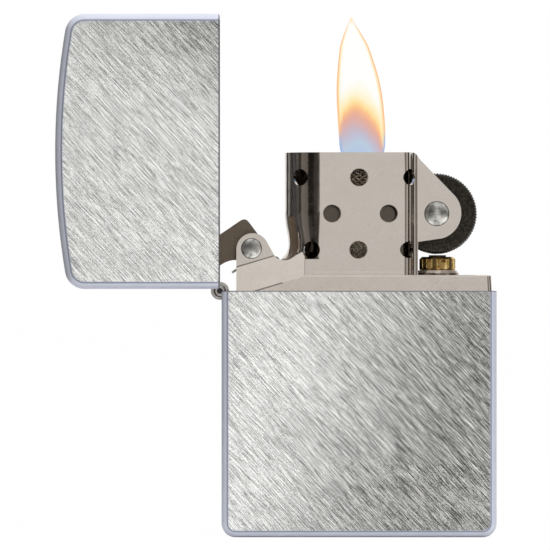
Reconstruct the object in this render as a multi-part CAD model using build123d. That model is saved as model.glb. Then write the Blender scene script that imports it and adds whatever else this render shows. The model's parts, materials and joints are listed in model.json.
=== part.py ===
from build123d import *
import math
import os

# A windproof flip-top petrol lighter, standing with its lid open at a right angle.
# Millimetres. +X runs from the hinge side to the wheel side, +Z is up, and the origin
# is the centre of the case's base. The broad faces look along -Y and +Y.

# ---- case and lid
CASE_WIDTH = 38.1
CASE_DEPTH = 12.7
RIM_Z = 34.1
CLOSED_HEIGHT = 56.9
CLOSED_GAP = 0.06
WALL = 0.6
BASE_CORNER_R = 1.95
CASE_EDGE_R = 1.05
CROWN_RISE = 1.8
LID_CORNER_R = 2.8
LID_EDGE_R = 1.15
RIM_BEVEL = 0.1
HALF_WIDTH = CASE_WIDTH / 2
HALF_DEPTH = CASE_DEPTH / 2

# ---- hinge
PIN_X = -19.3
PIN_Z = RIM_Z
PIN_R = 0.66
PIN_DIMPLE_R = 0.4
KNUCKLE_R = 1.25
KNUCKLE_BORE_R = 0.73
KNUCKLE_COUNT = 5
KNUCKLE_GAP = 0.1
BARREL_HALF = 4.6
LEAF_THICKNESS = 0.4
LEAF_LENGTH = 9.0
NOTCH_CLEARANCE = 0.15
OPEN_ANGLE = 90

# ---- insert tank
SHEET = 0.45
TANK_LEFT = -17.9
TANK_RIGHT = 18.4
TANK_SHOULDER_RIGHT = 18.28
TANK_HALF_DEPTH = 5.5
TANK_BASE_Z = 0.75
TANK_CORNER_R = 1.6
TANK_EDGE_R = 0.6
DECK_EDGE_R = 0.25
DECK_Z = 36.3
POCKET_Z = 32.6
POCKET_RIGHT = -10.6

# ---- cam ears, bent in from the tank's broad walls along two parallel creases
EAR_LEFT = -17.01
EAR_CENTRE = (-14.76, 39.85)
EAR_R = 2.25
EAR_HALF_DEPTH = 3.9
PANEL_RIGHT = -7.55
CREASE_SLOPE = math.atan(0.3)
LOWER_CREASE_POINT = (-10.8, 35.15)
UPPER_CREASE_POINT = (-14.4, 38.2)
CREASE_BEND_R = 0.7

# ---- cam and its spring
CAM_X = -14.91
CAM_Z = 39.98
CAM_HALF_WIDTH = 3.0
CAM_BORE_R = 0.86
CAM_FLAT_DISTANCE = 1.9
CAM_HEEL_R = 2.2
CAM_SWING = 110
SPRING_THICKNESS = 0.3
SPRING_HALF_WIDTH = 2.2
SPRING_FOOT_X = -14.0
SPRING_SHANK_R = 0.6

# ---- chimney
CHIMNEY_HALF_DEPTH = 4.9
CHIMNEY_TOP_Z = 53.3
CHIMNEY_END_X = -5.4
CHIMNEY_RIGHT = 8.2
CHIMNEY_FOOT_REACH = 5.15
CHIMNEY_WAIST_Z = 38.4
CHIMNEY_WAIST_STEP = 0.85
CHIMNEY_WAIST_REACHES = [5.62, 4.77, 4.42, 4.38, 4.48, 4.64, 4.77, 4.85, 4.87]
WHEEL_EAR_HALF_DEPTH = 3.1
HOLE_R = 1.18
HOLE_BEVEL = 0.1
DECK_RECESS_FROM_X = 6.9
DECK_RECESS_TO_X = 10.3
DECK_RECESS_DEPTH = 0.33
FRONT_HOLES = [(49.83, (-8.2, 0.0, 7.25)), (44.82, (-3.75, 4.1)), (39.79, (-6.6, -0.1, 6.8))]
BACK_HOLES = [(49.83, (-4.0, 3.8)), (44.82, (-8.2, 0.0, 7.25)), (39.79, (-3.6, 3.5))]

# ---- wheel, flint and wick
WHEEL_X = 10.8
WHEEL_Z = 44.82
WHEEL_R = 5.7
WHEEL_HALF_WIDTH = 2.5
WHEEL_TEETH = 72
TOOTH_DEPTH = 0.22
WHEEL_BORE_R = 0.96
FLINT_X = 10.95
TUBE_R = 1.75
TUBE_BORE_R = 1.3
TUBE_BASE_Z = 2.6
COLLAR_R = 2.52
SEAT_R = 2.97
SEAT_TOP_R = 2.62
COLLAR_BASE_Z = 36.98
COLLAR_TOP_Z = 38.83
FLINT_R = 1.2
FLINT_BASE_Z = 34.2
FLINT_TOP_Z = 39.06
SCREW_TOP_Z = 9.0
WICK_X = 0.3
WICK_R = 1.35
WICK_TOP_Z = 51.3
FILL_BASE_Z = 3.2
FILL_TOP_Z = 32.0
WAD_COUNT = 5


# ------------------------------------------------------------------ small helpers
def upright_face(lines):
    """A face in the XZ plane, from lines drawn in (x, z)."""
    return Plane.XZ * make_face(lines)


def upright_slab(lines, half_depth):
    """An XZ outline made as deep as half_depth on both sides of the centre plane."""
    return extrude(upright_face(lines), amount=half_depth, both=True)


def span_box(x0, x1, y0, y1, z0, z1):
    """A box given by its two limits along each axis."""
    centre = Pos((x0 + x1) / 2, (y0 + y1) / 2, (z0 + z1) / 2)
    return centre * Box(x1 - x0, y1 - y0, z1 - z0)


def post(x, z0, z1, radius):
    """An upright cylinder between two heights."""
    return Pos(x, 0, (z0 + z1) / 2) * Cylinder(radius, z1 - z0)


def cross_rod(x, z, radius, y0, y1):
    """A cylinder along Y."""
    return Pos(x, (y0 + y1) / 2, z) * Rot(90, 0, 0) * Cylinder(radius, y1 - y0)


def strip(lines, thickness, side):
    """A closed outline of the given thickness, on one side of an open path."""
    return make_face(offset(lines, amount=thickness, side=side))


def rivet(x, z, shank_r, half_grip, head_r, head_height):
    """A solid rivet along Y, with a low dome on each end."""
    rim = 0.12
    crown = head_height - rim
    crown_r = (head_r**2 + crown**2) / (2 * crown)
    top = half_grip + head_height
    head = post(0, half_grip, top, head_r) & Pos(0, 0, top - crown_r) * Sphere(crown_r)
    body = Cylinder(shank_r, 2 * half_grip) + head + head.mirror(Plane.XY)
    return Pos(x, 0, z) * Rot(90, 0, 0) * body


def broad_outline_edges(block, open_z):
    """The edges around the two broad faces, except those at the open end."""
    faces = block.faces().sort_by(Axis.Y)
    edges = list(faces[0].edges()) + list(faces[-1].edges())
    return [edge for edge in edges if abs(edge.center().Z - open_z) > 0.01]


def open_lid(shape):
    """A shape drawn with the lid shut, turned to where it stands with the lid open."""
    return shape.rotate(Axis((PIN_X, 0, PIN_Z), (0, -1, 0)), OPEN_ANGLE)


# ------------------------------------------------------------------ case
def case_block(inset, corner_r, edge_r):
    """The case's outer form, or its hollow when inset by the wall."""
    half = HALF_WIDTH - inset
    block = span_box(-half, half, inset - HALF_DEPTH, HALF_DEPTH - inset, inset, RIM_Z)
    block = fillet(block.edges().filter_by(Axis.Y).group_by(Axis.Z)[0], corner_r)
    return fillet(broad_outline_edges(block, RIM_Z), edge_r)


def hinge_notch(z0, z1):
    """The window in the hinge-side wall that the barrel lies in."""
    reach = BARREL_HALF + KNUCKLE_GAP
    return span_box(-HALF_WIDTH - 1, -HALF_WIDTH + WALL, -reach, reach, z0, z1)


def case_shell():
    hollow = case_block(WALL, BASE_CORNER_R - WALL, CASE_EDGE_R - WALL)
    outer = case_block(0, BASE_CORNER_R, CASE_EDGE_R)
    outer = chamfer(outer.edges().group_by(Axis.Z)[-1], RIM_BEVEL)
    notch_depth = KNUCKLE_R + NOTCH_CLEARANCE
    return outer - hollow - hinge_notch(PIN_Z - notch_depth, RIM_Z + 1)


# ------------------------------------------------------------------ lid
def lid_block(inset, corner_r, edge_r):
    """The shut lid's outer form, or its hollow when inset by the wall."""
    half = HALF_WIDTH - inset
    base = RIM_Z + CLOSED_GAP
    top = CLOSED_HEIGHT - inset
    shoulder = top - CROWN_RISE
    sides = Polyline((-half, shoulder), (-half, base), (half, base), (half, shoulder))
    crown = ThreePointArc((half, shoulder), (0, top), (-half, shoulder))
    block = upright_slab([sides, crown], HALF_DEPTH - inset)
    upper_corners = [
        edge
        for edge in block.edges().filter_by(Axis.Y)
        if abs(edge.center().Z - shoulder) < 0.01
    ]
    block = fillet(upper_corners, corner_r)
    return fillet(broad_outline_edges(block, base), edge_r)


def lid_shell():
    hollow = lid_block(WALL, LID_CORNER_R - WALL, LID_EDGE_R - WALL)
    outer = lid_block(0, LID_CORNER_R, LID_EDGE_R)
    outer = chamfer(outer.edges().group_by(Axis.Z)[0], RIM_BEVEL)
    notch_height = KNUCKLE_R + NOTCH_CLEARANCE
    return open_lid(outer - hollow - hinge_notch(RIM_Z - 1, PIN_Z + notch_height))


# ------------------------------------------------------------------ hinge
def knuckle_spans(first):
    """The Y limits of every second knuckle, starting with the given one."""
    length = (2 * BARREL_HALF - (KNUCKLE_COUNT - 1) * KNUCKLE_GAP) / KNUCKLE_COUNT
    starts = [-BARREL_HALF + i * (length + KNUCKLE_GAP) for i in range(KNUCKLE_COUNT)]
    return [(y, y + length) for y in starts[first::2]]


def hinge_leaf(first, direction):
    """A leaf against the inside of the hinge-side wall, with its share of the knuckles.

    direction is -1 for the leaf that hangs down in the case and +1 for the lid's.
    """
    outer = -HALF_WIDTH + WALL
    inner = outer + LEAF_THICKNESS
    near = PIN_Z + direction * (KNUCKLE_R + KNUCKLE_GAP)
    far = PIN_Z + direction * LEAF_LENGTH
    leaf = span_box(outer, inner, -BARREL_HALF, BARREL_HALF, min(near, far), max(near, far))
    for y0, y1 in knuckle_spans(first):
        neck = span_box(outer, inner, y0, y1, min(PIN_Z, near), max(PIN_Z, near))
        leaf = leaf + neck + cross_rod(PIN_X, PIN_Z, KNUCKLE_R, y0, y1)
    return leaf - cross_rod(PIN_X, PIN_Z, KNUCKLE_BORE_R, -BARREL_HALF - 1, BARREL_HALF + 1)


def hinge_pin():
    """The pin through the five knuckles, with a punched dimple in each end."""
    end = BARREL_HALF + 0.05
    dimple_depth = 0.3
    pin = cross_rod(PIN_X, PIN_Z, PIN_R, -end, end)
    for side in (-1, 1):
        outer = side * end
        inner = side * (end - dimple_depth)
        pin -= cross_rod(PIN_X, PIN_Z, PIN_DIMPLE_R, min(inner, outer), max(inner, outer))
    return pin


# ------------------------------------------------------------------ insert: tank, deck and cam ears
def crease_height(point):
    """Distance of a crease line from the origin, square to the creases in the XZ plane."""
    return point[1] * math.cos(CREASE_SLOPE) - point[0] * math.sin(CREASE_SLOPE)


def along_crease(lines, length):
    """A section drawn in (y, height square to the creases), run along the crease direction."""
    direction = Vector(math.cos(CREASE_SLOPE), 0, math.sin(CREASE_SLOPE))
    start = Plane(origin=-direction * length / 2, x_dir=(0, 1, 0), z_dir=direction)
    return extrude(start * make_face(lines), amount=length)


def tank_block(inset):
    """The tank's outer form, stepped down under the cam, or its hollow when inset."""
    base = TANK_BASE_Z - (1 if inset else 0)
    left = TANK_LEFT + inset
    right = TANK_RIGHT - inset
    deck = DECK_Z - inset
    pocket = POCKET_Z - inset
    step = POCKET_RIGHT + inset
    shoulder = TANK_SHOULDER_RIGHT - inset
    outline = Polyline(
        (left, base), (right, base), (right, RIM_Z), (shoulder, deck),
        (step, deck), (step, pocket), (left, pocket),
        close=True,
    )
    block = upright_slab(outline, TANK_HALF_DEPTH - inset)
    if inset:
        return block
    block = fillet(block.edges().filter_by(Axis.Y).group_by(Axis.Z)[0], TANK_CORNER_R)
    faces = block.faces().sort_by(Axis.Y)
    edges = list(faces[0].edges()) + list(faces[-1].edges())
    beyond_x, above_z = TANK_SHOULDER_RIGHT - 0.2, TANK_BASE_Z + 2.5
    rounded = [e for e in edges if e.center().X > beyond_x and e.center().Z > above_z]
    block = fillet(rounded, TANK_EDGE_R)
    deck_edges = [e for e in block.edges().filter_by(Axis.X) if abs(e.center().Z - DECK_Z) < 0.01]
    return fillet(deck_edges, DECK_EDGE_R)


def bent_wall_path():
    """The line of the broad wall's outer surface, from the tank up past both creases."""
    lower = crease_height(LOWER_CREASE_POINT)
    upper = crease_height(UPPER_CREASE_POINT)
    return FilletPolyline(
        (-TANK_HALF_DEPTH, lower - 6),
        (-TANK_HALF_DEPTH, lower),
        (-EAR_HALF_DEPTH, upper),
        (-EAR_HALF_DEPTH, upper + 8),
        radius=CREASE_BEND_R,
    )


def ear_outline():
    """The outline of a cam ear and its sloping panel, seen square on."""
    cx, cz = EAR_CENTRE
    flank = math.radians(31)
    flank_top = (cx + EAR_R * math.cos(flank), cz + EAR_R * math.sin(flank))
    crown = (cx - EAR_R * math.cos(math.radians(60)), cz + EAR_R * math.sin(math.radians(60)))
    low = POCKET_Z - SHEET
    side = Polyline((PANEL_RIGHT, 39.7), (PANEL_RIGHT, low), (EAR_LEFT, low), (EAR_LEFT, cz))
    ear = ThreePointArc((EAR_LEFT, cz), crown, flank_top)
    slope_end = (-11.72, 38.98)
    slope = Line(flank_top, slope_end)
    hollow = Spline(
        slope_end, (-11.2, 38.55), (-10.4, 38.34), (-9.7, 38.45), (-8.9, 38.95), (PANEL_RIGHT, 39.7),
        tangents=[(0.48, -0.88), (0.85, 0.5)],
    )
    return [side, ear, slope, hollow]


def wall_wedge():
    """What lies outside the bent wall, to be cut off the tank's upper left edges."""
    lower = crease_height(LOWER_CREASE_POINT)
    upper = crease_height(UPPER_CREASE_POINT)
    beyond = -TANK_HALF_DEPTH - 1
    section = Polyline(
        (-TANK_HALF_DEPTH, lower), (-EAR_HALF_DEPTH, upper), (beyond, upper), (beyond, lower), close=True
    )
    wedge = along_crease(section, 60)
    return wedge & span_box(TANK_LEFT - 1, PANEL_RIGHT, -8, 8, POCKET_Z, 45)


def cam_ear_front():
    sheet = along_crease(strip(bent_wall_path(), SHEET, Side.RIGHT).edges(), 60)
    outline = upright_slab(ear_outline(), 8)
    return sheet & outline


def insert_shell():
    """Tank with its deck, the pocket for the cam, and the two cam ears."""
    shell = tank_block(0) - tank_block(SHEET)
    wedge = wall_wedge()
    ear = cam_ear_front()
    for part in (wedge, wedge.mirror(Plane.XZ)):
        shell -= part
    for part in (ear, ear.mirror(Plane.XZ)):
        shell += part
    shell -= chimney_envelope()
    shell -= post(WICK_X, DECK_Z - 1, DECK_Z + 1, WICK_R + 0.05)
    shell -= post(FLINT_X, DECK_Z - 1, DECK_Z + 1, TUBE_R)
    shell -= cross_rod(CAM_X, CAM_Z, 0.8, -8, 8)
    shell -= post(SPRING_FOOT_X, POCKET_Z - 1, POCKET_Z + 1, SPRING_SHANK_R)
    for side in (-1, 1):
        front = side * (TANK_HALF_DEPTH - 0.4)
        beyond = side * (TANK_HALF_DEPTH + 1)
        low, high = min(front, beyond), max(front, beyond)
        floor_z = DECK_Z - DECK_RECESS_DEPTH
        shell -= span_box(DECK_RECESS_FROM_X, DECK_RECESS_TO_X, low, high, floor_z, DECK_Z + 1)
    return shell


# ------------------------------------------------------------------ chimney
def rounded_end_section(reach, half_depth, z):
    """Half an ellipse at the chimney's rounded end, closed by a straight line."""
    centre = (CHIMNEY_END_X, 0)
    upper = EllipticalCenterArc(centre, reach, half_depth, start_angle=90, arc_size=90)
    lower = EllipticalCenterArc(centre, reach, half_depth, start_angle=180, arc_size=90)
    chord = Line((CHIMNEY_END_X, -half_depth), (CHIMNEY_END_X, half_depth))
    return Pos(0, 0, z) * make_face([upper, lower, chord])


def rounded_end(inset):
    """The chimney's rounded end: a foot, a flare that narrows to a waist, and a straight upper part."""
    half_depth = CHIMNEY_HALF_DEPTH - inset
    overrun = 1 if inset else 0
    straight_z = CHIMNEY_WAIST_Z + CHIMNEY_WAIST_STEP * (len(CHIMNEY_WAIST_REACHES) - 1)
    foot_z = DECK_Z - overrun
    foot_section = rounded_end_section(CHIMNEY_FOOT_REACH - inset, half_depth, foot_z)
    foot = extrude(foot_section, amount=CHIMNEY_WAIST_Z - foot_z)
    sections = []
    for step, reach in enumerate(CHIMNEY_WAIST_REACHES):
        if inset:
            reach = min(reach, CHIMNEY_FOOT_REACH) - inset
        z = CHIMNEY_WAIST_Z + CHIMNEY_WAIST_STEP * step
        sections.append(rounded_end_section(reach, half_depth, z))
    waist = loft(sections)
    straight_section = rounded_end_section(CHIMNEY_WAIST_REACHES[-1] - inset, half_depth, straight_z)
    straight = extrude(straight_section, amount=CHIMNEY_TOP_Z + overrun - straight_z)
    return foot + waist + straight


def chimney_side_path(inset):
    """The wheel end of the broad walls, stepping in to the wheel ears."""
    outer = CHIMNEY_HALF_DEPTH - inset
    inner = WHEEL_EAR_HALF_DEPTH - inset
    corners = [(CHIMNEY_END_X, -outer), (6.85, -outer), (7.55, -inner), (16.0, -inner)]
    return FilletPolyline(*corners, radius=0.85)


def chimney_profile():
    """The broad walls and wheel ears seen square on, without the rounded end."""
    left = CHIMNEY_END_X
    top_left = Line((left, CHIMNEY_TOP_Z), (7.3, CHIMNEY_TOP_Z))
    top_corner = Spline((7.3, CHIMNEY_TOP_Z), (8.0, 53.0), (8.45, 52.35), tangents=[(1, 0), (0.69, -0.72)])
    slope = Line((8.45, 52.35), (13.3, 47.3))
    nose = ThreePointArc((13.3, 47.3), (14.2, 44.8), (11.6, 41.4))
    under = Line((11.6, 41.4), (CHIMNEY_RIGHT, 40.9))
    lower = Polyline((CHIMNEY_RIGHT, 40.9), (CHIMNEY_RIGHT, DECK_Z), (left, DECK_Z), (left, CHIMNEY_TOP_Z))
    return [top_left, top_corner, slope, nose, under, lower]


def broad_walls():
    """Both broad walls of the chimney with the wheel ears."""
    front = strip(chimney_side_path(0), SHEET, Side.LEFT)
    wall = Pos(0, 0, DECK_Z) * extrude(front, amount=CHIMNEY_TOP_Z - DECK_Z)
    wall &= upright_slab(chimney_profile(), 8)
    return wall + wall.mirror(Plane.XZ)


def chimney_envelope():
    """The space that the chimney's walls take up and enclose, up to the wheel ears."""
    half = CHIMNEY_HALF_DEPTH
    middle = span_box(CHIMNEY_END_X, 6.0, -half, half, DECK_Z, CHIMNEY_TOP_Z)
    return rounded_end(0) + middle


def hole_cutters(rows):
    """The air holes of the front face, each cut square to the wall where it sits."""
    cutters = []
    for z, places in rows:
        for x in places:
            y = -CHIMNEY_HALF_DEPTH
            yaw = 0
            if x < CHIMNEY_END_X:
                yaw = -math.degrees(math.asin((CHIMNEY_END_X - x) / CHIMNEY_HALF_DEPTH))
                y = -CHIMNEY_HALF_DEPTH * math.cos(math.radians(yaw))
            if x > 6:
                yaw = 38
                y = -CHIMNEY_HALF_DEPTH + 0.45
            cutter = Cylinder(HOLE_R, 3)
            if CHIMNEY_END_X < x < 6:
                bevel = Cone(HOLE_R, HOLE_R + 4 * HOLE_BEVEL, 4 * HOLE_BEVEL)
                cutter += Pos(0, 0, HOLE_BEVEL) * bevel
            cutter = Rot(90, 0, 0) * cutter
            cutters.append(Pos(x, y, z) * Rot(0, 0, yaw) * cutter)
    return cutters


def chimney_foot():
    """The low ridge that the broad walls stand on, along both sides of the deck."""
    outer = CHIMNEY_HALF_DEPTH + 0.25
    inner = CHIMNEY_HALF_DEPTH - 0.1
    ridge = span_box(-6.2, 6.2, -outer, outer, DECK_Z, DECK_Z + 0.5)
    ridge = fillet(ridge.edges().filter_by(Axis.X).group_by(Axis.Z)[-1], 0.12)
    return ridge - span_box(-7, 7, -inner, inner, DECK_Z - 1, DECK_Z + 1)


def chimney_flaps():
    """Flat flaps that bring the foot of the rounded end flush with the broad walls."""
    left = PANEL_RIGHT + 0.05
    half = CHIMNEY_HALF_DEPTH
    flap = span_box(left, CHIMNEY_END_X, -half, -half + 2 * SHEET, DECK_Z, CHIMNEY_WAIST_Z + 0.1)
    return flap + flap.mirror(Plane.XZ)


def chimney():
    """Windproof chimney: one bent sheet with air holes and the two ears for the wheel."""
    shell = rounded_end(0) + chimney_flaps() - rounded_end(SHEET)
    shell = shell + broad_walls() + chimney_foot()
    for cutter in hole_cutters(FRONT_HOLES):
        shell -= cutter
    for cutter in hole_cutters(BACK_HOLES):
        shell -= cutter.mirror(Plane.XZ)
    shell -= cross_rod(WHEEL_X, WHEEL_Z, 0.9, -8, 8)
    return shell


# ------------------------------------------------------------------ wheel
def wheel_tooth_outline():
    """A ring of fine triangular teeth."""
    points = []
    for i in range(2 * WHEEL_TEETH):
        angle = math.pi * i / WHEEL_TEETH
        radius = WHEEL_R - TOOTH_DEPTH * (i % 2)
        points.append((radius * math.cos(angle), radius * math.sin(angle)))
    return Polyline(*points, close=True)


def striker_wheel():
    """The toothed wheel with its bevelled edges and plain hubs."""
    hub_r = 2.2
    hub_half = WHEEL_HALF_WIDTH
    rim_half = WHEEL_HALF_WIDTH - 0.15
    rim = extrude(make_face(wheel_tooth_outline()), amount=rim_half, both=True)
    bevel_line = Polyline(
        (0, -rim_half), (WHEEL_R - 0.5, -rim_half), (WHEEL_R + 0.05, -rim_half + 0.4),
        (WHEEL_R + 0.05, rim_half - 0.4), (WHEEL_R - 0.5, rim_half), (0, rim_half), close=True,
    )
    rim &= revolve(upright_face(bevel_line), axis=Axis.Z)
    wheel = rim + Cylinder(hub_r, 2 * hub_half) - Cylinder(WHEEL_BORE_R, 10)
    return Pos(WHEEL_X, 0, WHEEL_Z) * Rot(90, 0, 0) * wheel


# ------------------------------------------------------------------ cam
def from_cam_pivot(distance, normal_angle, along):
    """A point on a flat of the cam, by the flat's distance and direction from the pivot."""
    n = math.radians(normal_angle)
    x = CAM_X + distance * math.cos(n) - along * math.sin(n)
    z = CAM_Z + distance * math.sin(n) + along * math.cos(n)
    return (x, z)


def cam():
    """The cam: a long nose that reaches under the lid, and a heel with two flats."""
    open_flat = math.degrees(CREASE_SLOPE) - 90
    shut_flat = open_flat + CAM_SWING
    half_step = math.sqrt(CAM_HEEL_R**2 - CAM_FLAT_DISTANCE**2)
    flat_start = from_cam_pivot(CAM_FLAT_DISTANCE, open_flat, -1.1)
    heel_start = from_cam_pivot(CAM_FLAT_DISTANCE, open_flat, half_step)
    heel_middle = from_cam_pivot(CAM_HEEL_R, (open_flat + shut_flat) / 2, 0)
    heel_end = from_cam_pivot(CAM_FLAT_DISTANCE, shut_flat, -half_step)
    flat_end = from_cam_pivot(CAM_FLAT_DISTANCE, shut_flat, 2.7)
    shoulder = (-16.55, 43.78)
    nose_top = (-21.35, 40.52)
    nose_tip = (-21.15, 36.05)
    throat = (-19.35, 37.6)
    waist = (-17.1, 38.38)
    lines = [
        Line(flat_start, heel_start),
        ThreePointArc(heel_start, heel_middle, heel_end),
        Line(heel_end, flat_end),
        Spline(flat_end, (-15.75, 44.0), shoulder, tangents=[(-0.6, 0.8), (-0.82, -0.57)]),
        Line(shoulder, nose_top),
        ThreePointArc(nose_top, (-22.45, 38.2), nose_tip),
        Spline(nose_tip, throat, waist, flat_start, tangents=[(0.77, 0.64), (0.6, -0.3)]),
    ]
    body = upright_slab(lines, CAM_HALF_WIDTH)
    return body - cross_rod(CAM_X, CAM_Z, CAM_BORE_R, -5, 5)


def cam_spring():
    """The leaf spring under the cam: a foot on the pocket floor, a riser and a tongue."""
    slope = math.tan(CREASE_SLOPE)
    top_x, top_z = from_cam_pivot(CAM_FLAT_DISTANCE + 0.04, math.degrees(CREASE_SLOPE) - 90, 0)
    riser_x = POCKET_RIGHT - 0.35
    tip_x = -16.75
    path = FilletPolyline(
        (-16.4, POCKET_Z),
        (riser_x, POCKET_Z),
        (riser_x, top_z + slope * (riser_x - top_x)),
        (tip_x, top_z + slope * (tip_x - top_x)),
        (-17.7, 36.75),
        radius=[0.7, 0.7, 0.8],
    )
    outline = strip(path, SPRING_THICKNESS, Side.LEFT)
    spring = extrude(Plane.XZ * outline, amount=SPRING_HALF_WIDTH, both=True)
    return spring - post(SPRING_FOOT_X, POCKET_Z - 1, POCKET_Z + 1, SPRING_SHANK_R)


def cam_spring_rivet():
    """The rivet that holds the spring's foot to the pocket floor."""
    spring_top = POCKET_Z + SPRING_THICKNESS
    floor = POCKET_Z - SHEET
    shank = post(SPRING_FOOT_X, floor, spring_top, SPRING_SHANK_R)
    head = post(SPRING_FOOT_X, spring_top, spring_top + 0.35, 1.1)
    head = fillet(head.edges().group_by(Axis.Z)[-1], 0.25)
    clench = post(SPRING_FOOT_X, floor - 0.3, floor, 1.0)
    return head + shank + clench


# ------------------------------------------------------------------ flint gear
def flint_tube():
    """The brass tube with its fluted collar."""
    collar = post(FLINT_X, COLLAR_BASE_Z, COLLAR_TOP_Z, COLLAR_R)
    collar = chamfer(collar.edges().group_by(Axis.Z)[-1], 0.35)
    collar = chamfer(collar.edges().group_by(Axis.Z)[0], 0.15)
    flute = Cylinder(0.2, COLLAR_TOP_Z - COLLAR_BASE_Z - 0.6)
    middle = (COLLAR_BASE_Z + COLLAR_TOP_Z) / 2
    for place in PolarLocations(COLLAR_R + 0.06, 20):
        collar -= Pos(FLINT_X, 0, middle) * place * flute
    tube = collar + post(FLINT_X, TUBE_BASE_Z, COLLAR_BASE_Z, TUBE_R)
    return tube - post(FLINT_X, TUBE_BASE_Z - 1, COLLAR_TOP_Z + 1, TUBE_BORE_R)


def flint_tube_seat():
    """The pressed steel washer between the deck and the tube's collar."""
    brim_z = DECK_Z + 0.3
    brim = post(FLINT_X, DECK_Z, brim_z, SEAT_R)
    cone = Cone(SEAT_R - 0.1, SEAT_TOP_R, COLLAR_BASE_Z - brim_z)
    cone = Pos(FLINT_X, 0, (brim_z + COLLAR_BASE_Z) / 2) * cone
    seat = brim + cone
    return seat - post(FLINT_X, DECK_Z - 1, COLLAR_BASE_Z + 1, TUBE_R)


def flint():
    body = post(FLINT_X, FLINT_BASE_Z, FLINT_TOP_Z, FLINT_R)
    return chamfer(body.edges().group_by(Axis.Z)[0], 0.15)


def spring_tip():
    """The brass plug that the spring pushes the flint with."""
    cap = post(FLINT_X, 32.9, FLINT_BASE_Z - 0.05, 1.15)
    return cap + post(FLINT_X, 31.7, 32.9, 0.55)


def flint_spring():
    """The compression spring between the screw and the tip."""
    wire_r = 0.17
    coil = Helix(pitch=1.5, height=32.5 - SCREW_TOP_Z - 0.4, radius=0.85)
    wire = sweep(Plane(origin=coil @ 0, z_dir=coil % 0) * Circle(wire_r), path=coil)
    return Pos(FLINT_X, 0, SCREW_TOP_Z + 0.4) * wire


def flint_screw():
    """The slotted screw that closes the flint tube from below."""
    head = post(FLINT_X, 1.35, 2.5, 2.3)
    head = chamfer(head.edges().group_by(Axis.Z)[0], 0.25)
    screw = head + post(FLINT_X, 2.5, SCREW_TOP_Z, 1.0)
    for i in range(9):
        z = 3.1 + 0.6 * i
        screw += post(FLINT_X, z, z + 0.3, 1.22)
    return screw - span_box(FLINT_X - 3, FLINT_X + 3, -0.35, 0.35, 1.0, 1.85)


# ------------------------------------------------------------------ wick and packing
def wick_path():
    """The wick hangs straight down the chimney and winds through the packing."""
    return FilletPolyline(
        (WICK_X, WICK_TOP_Z), (WICK_X, 27.5), (-11.5, 21.5), (5.5, 13.5), (-11.5, 5.8),
        radius=[6.0, 2.8, 3.0],
    )


def wick_solid(radius):
    path = Plane.XZ * wick_path()
    return sweep(Plane(origin=path @ 0, z_dir=path % 0) * Circle(radius), path=path)


def wadding():
    """The wads of cotton that fill the tank around the wick and the flint tube."""
    pitch = (FILL_TOP_Z - FILL_BASE_Z) / WAD_COUNT
    channel = wick_solid(WICK_R + 0.05)
    wads = []
    for i in range(WAD_COUNT):
        z0 = FILL_BASE_Z + pitch * i
        wad = span_box(TANK_LEFT + SHEET + 0.2, TANK_RIGHT - SHEET - 0.2, -4.9, 4.9, z0, z0 + pitch - 0.15)
        wad = fillet(wad.edges(), 0.9)
        wads.append(wad - channel - post(FLINT_X, z0 - 1, z0 + pitch + 1, TUBE_R + 0.05))
    return wads


def felt_pad():
    """The felt that closes the bottom of the tank, holed for the flint screw."""
    pad = span_box(TANK_LEFT + 0.75, TANK_RIGHT - 0.75, -4.95, 4.95, 1.8, 3.0)
    pad = fillet(pad.edges().filter_by(Axis.Z), 0.6)
    return pad - post(FLINT_X, 0, 4, 2.5)


# ------------------------------------------------------------------ nodes
def main():
    os.makedirs("parts", exist_ok=True)
    nodes = {
        "case_shell": case_shell(),
        "case_hinge_leaf": hinge_leaf(0, -1),
        "hinge_pin": hinge_pin(),
        "lid_shell": lid_shell(),
        "lid_hinge_leaf": open_lid(hinge_leaf(1, 1)),
        "insert_shell": insert_shell(),
        "chimney": chimney(),
        "cam": cam(),
        "cam_rivet": rivet(CAM_X, CAM_Z, 0.8, EAR_HALF_DEPTH, 1.45, 0.5),
        "cam_spring": cam_spring(),
        "cam_spring_rivet": cam_spring_rivet(),
        "striker_wheel": striker_wheel(),
        "wheel_rivet": rivet(WHEEL_X, WHEEL_Z, 0.9, WHEEL_EAR_HALF_DEPTH, 1.74, 0.6),
        "flint_tube": flint_tube(),
        "flint_tube_seat": flint_tube_seat(),
        "flint": flint(),
        "spring_tip": spring_tip(),
        "flint_spring": flint_spring(),
        "flint_screw": flint_screw(),
        "wick": wick_solid(WICK_R),
        "felt_pad": felt_pad(),
    }
    for number, wad in enumerate(wadding(), start=1):
        nodes[f"wadding_{number}"] = wad
    for name, shape in nodes.items():
        export_step(shape, f"parts/{name}.step")
        print(name, "solids", len(shape.solids()), "volume", round(shape.volume, 2))


main()
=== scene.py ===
import json
import math

import bpy
import numpy as np
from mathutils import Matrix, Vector, noise


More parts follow.
